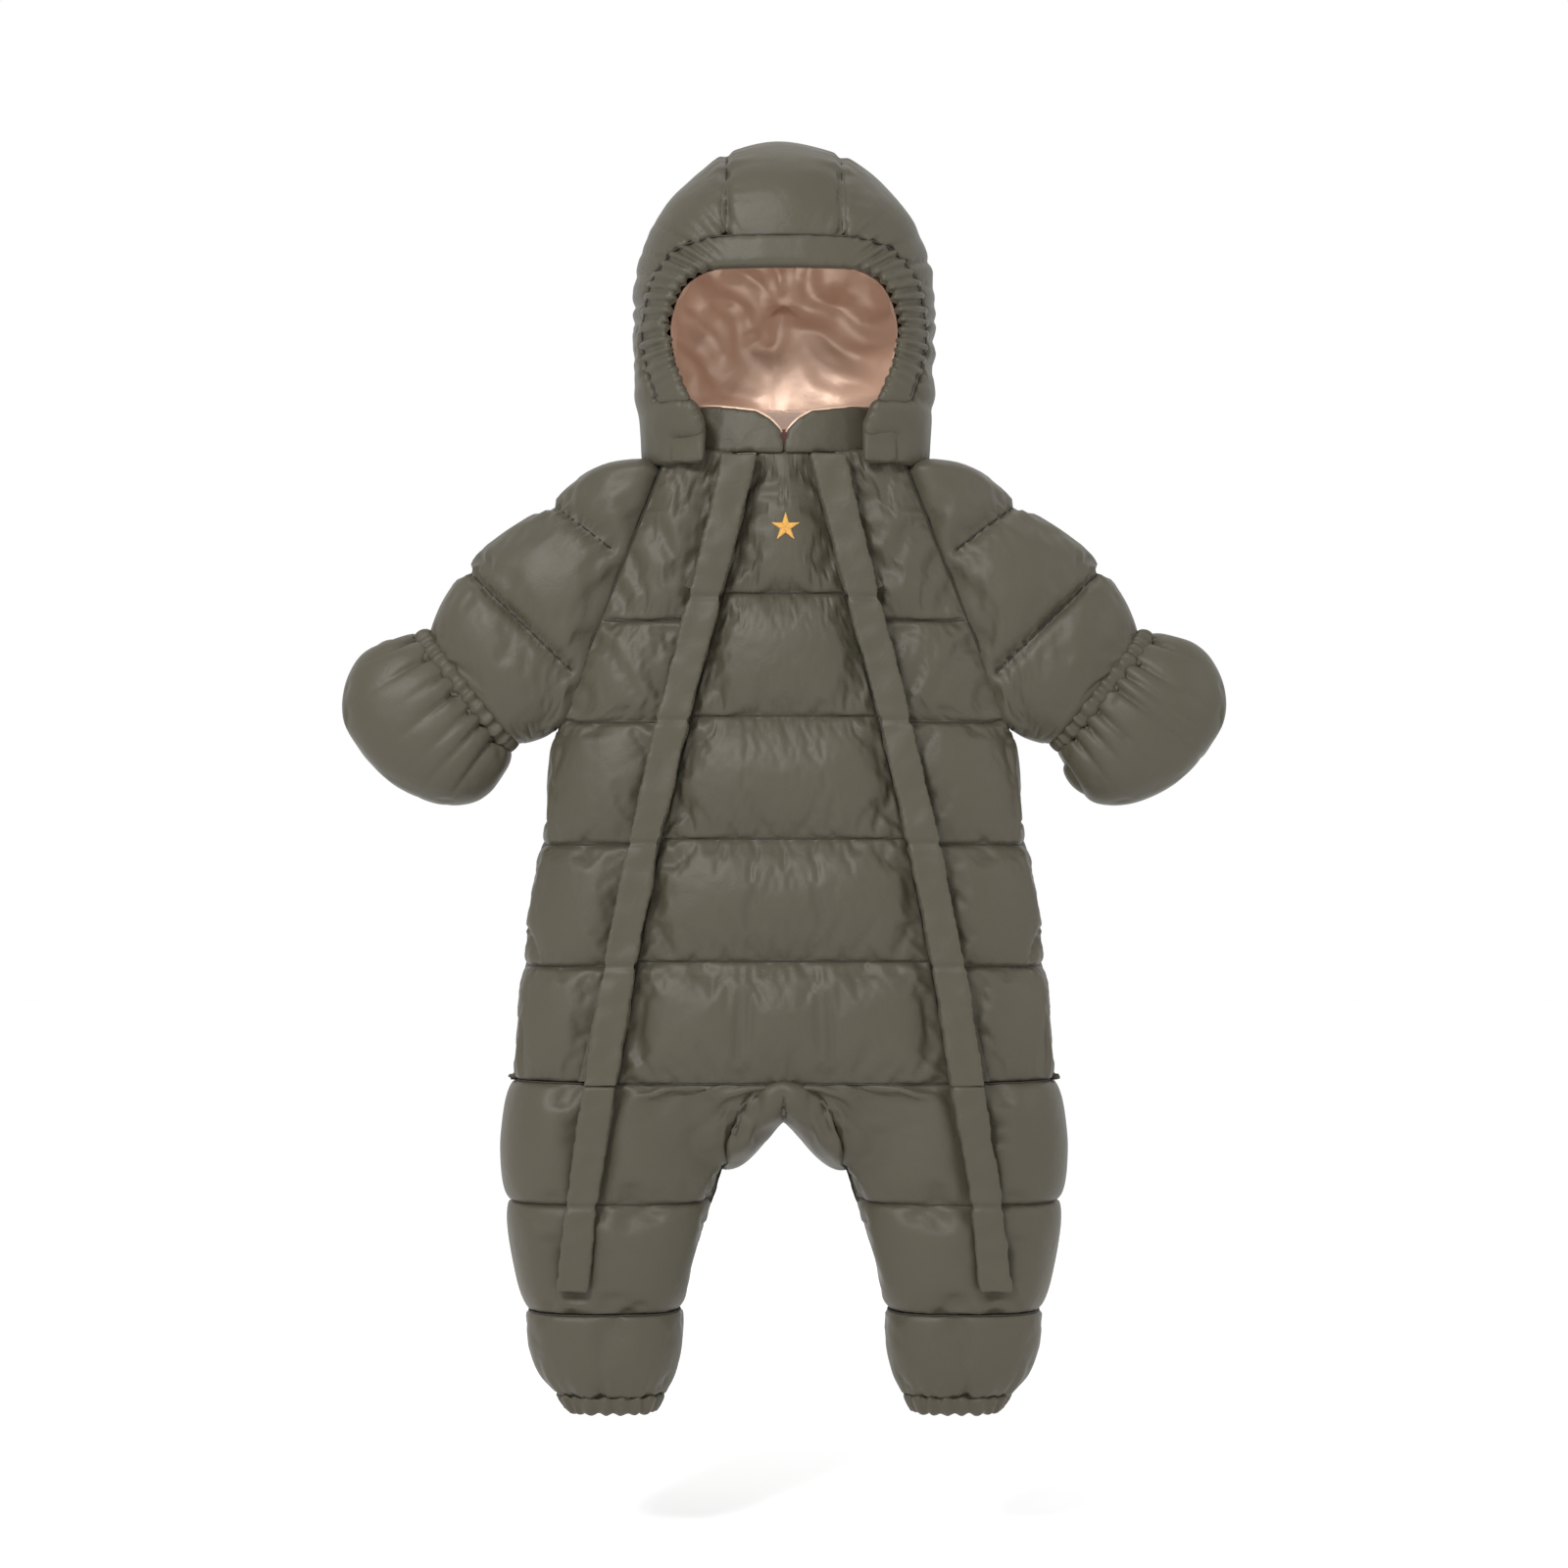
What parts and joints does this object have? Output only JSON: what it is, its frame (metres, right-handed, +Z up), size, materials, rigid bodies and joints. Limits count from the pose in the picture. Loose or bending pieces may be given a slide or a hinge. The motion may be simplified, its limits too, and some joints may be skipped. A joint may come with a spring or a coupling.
{
  "type": "baby snowsuit",
  "caption": "Quilted hooded one-piece snowsuit with diagonal zip flaps, turn-back mittens, folding hood and gathered leg ends.",
  "frame": {"origin": "inside the top of the hanger loop, at the middle of the inner back neck, where a coat peg holds the suit", "axes": "+Z up the hanging suit, -Y out of its front, +X towards the wearer's left"},
  "size_m": [0.5692, 0.1428, 0.808],
  "materials": {
    "quilted_nylon": "satin nylon shell over wadding",
    "satin_lining": "smooth satin",
    "brushed_collar": "soft brushed",
    "gathered_elastic": "gathered nylon over elastic",
    "zip_tape": "woven tape",
    "zip_teeth": "moulded coil",
    "zip_metal": "satin lacquer",
    "ribbon": "grosgrain ribbon",
    "embroidery": "satin stitch thread",
    "label": "woven label, blank"
  },
  "bodies": {
    "trunk": {"centre_front_panel": "quilted_nylon", "side_front_panel_left": "quilted_nylon", "side_front_panel_right": "quilted_nylon", "back_panel": "quilted_nylon", "front_lining": "satin_lining", "back_lining": "satin_lining", "zip_tape_left": "zip_tape", "zip_tape_right": "zip_tape", "zip_teeth_left": "zip_teeth", "zip_teeth_right": "zip_teeth", "zip_flap_left": "quilted_nylon", "zip_flap_right": "quilted_nylon", "collar_front_left": "quilted_nylon", "collar_front_right": "quilted_nylon", "collar_back": "brushed_collar", "neck_label": "label", "hanger_loop": "zip_tape", "chest_motif": "embroidery", "crotch_gusset": "quilted_nylon"},
    "hood": {"hood_centre_panel": "quilted_nylon", "hood_side_panel_left": "quilted_nylon", "hood_side_panel_right": "quilted_nylon", "hood_lower_panel_left": "quilted_nylon", "hood_lower_panel_right": "quilted_nylon", "hood_tab_left": "quilted_nylon", "hood_tab_right": "quilted_nylon", "hood_rim": "quilted_nylon", "hood_lining": "satin_lining", "hood_elastic": "gathered_elastic"},
    "arm_left": {"sleeve_left": "quilted_nylon", "sleeve_lining_left": "satin_lining"},
    "mitt_left": {"mitten_left": "quilted_nylon", "mitten_band_left": "gathered_elastic"},
    "lower_left": {"leg_left": "quilted_nylon", "leg_lining_left": "satin_lining", "leg_flap_left": "quilted_nylon", "foot_section_left": "quilted_nylon", "foot_elastic_left": "gathered_elastic"},
    "slider_left": {"zip_slider_left": "zip_metal"},
    "pull_left": {"zip_pull_left": "ribbon"},
    "arm_right": {"sleeve_right": "quilted_nylon", "sleeve_lining_right": "satin_lining"},
    "mitt_right": {"mitten_right": "quilted_nylon", "mitten_band_right": "gathered_elastic"},
    "lower_right": {"leg_right": "quilted_nylon", "leg_lining_right": "satin_lining", "leg_flap_right": "quilted_nylon", "foot_section_right": "quilted_nylon", "foot_elastic_right": "gathered_elastic"},
    "slider_right": {"zip_slider_right": "zip_metal"},
    "pull_right": {"zip_pull_right": "ribbon"}
  },
  "joints": [
    {"name": "hood_fold", "type": "hinge", "parent": "trunk", "child": "hood", "pos_m": [0, 0.021, 0.009], "axis": [-1, 0, 0], "range_deg": [0, 105]},
    {"name": "sleeve_left_swing", "type": "hinge", "parent": "trunk", "child": "arm_left", "pos_m": [0.1115, -0.069, -0.087], "axis": [0.3743, 0, -0.9273], "range_deg": [0, 60]},
    {"name": "mitten_left_turn_back", "type": "hinge", "parent": "arm_left", "child": "mitt_left", "pos_m": [0.2037, -0.0005, -0.1427], "axis": [0.6358, 0, 0.7718], "range_deg": [0, 140]},
    {"name": "leg_left_swing", "type": "hinge", "parent": "trunk", "child": "lower_left", "pos_m": [0.1077, -0.088, -0.39815], "axis": [-1, 0, 0], "range_deg": [0, 80]},
    {"name": "zip_left_slide", "type": "slide", "parent": "trunk", "child": "slider_left", "axis": [0.2288, 0, -0.9735], "range_m": [0, 0.3]},
    {"name": "pull_left_swivel", "type": "hinge", "parent": "slider_left", "child": "pull_left", "pos_m": [0.0424, -0.0795, -0.0547], "axis": [0, -1, 0], "range_deg": [0, 35]},
    {"name": "sleeve_right_swing", "type": "hinge", "parent": "trunk", "child": "arm_right", "pos_m": [-0.1115, -0.069, -0.087], "axis": [0.3743, 0, 0.9273], "range_deg": [0, 60]},
    {"name": "mitten_right_turn_back", "type": "hinge", "parent": "arm_right", "child": "mitt_right", "pos_m": [-0.2037, -0.0005, -0.1427], "axis": [0.6358, 0, -0.7718], "range_deg": [0, 140]},
    {"name": "leg_right_swing", "type": "hinge", "parent": "trunk", "child": "lower_right", "pos_m": [-0.1077, -0.088, -0.39815], "axis": [-1, 0, 0], "range_deg": [0, 80]},
    {"name": "zip_right_slide", "type": "slide", "parent": "trunk", "child": "slider_right", "axis": [-0.2288, 0, -0.9735], "range_m": [0, 0.3]},
    {"name": "pull_right_swivel", "type": "hinge", "parent": "slider_right", "child": "pull_right", "pos_m": [-0.0424, -0.0795, -0.0547], "axis": [0, 1, 0], "range_deg": [0, 35]}
  ]
}
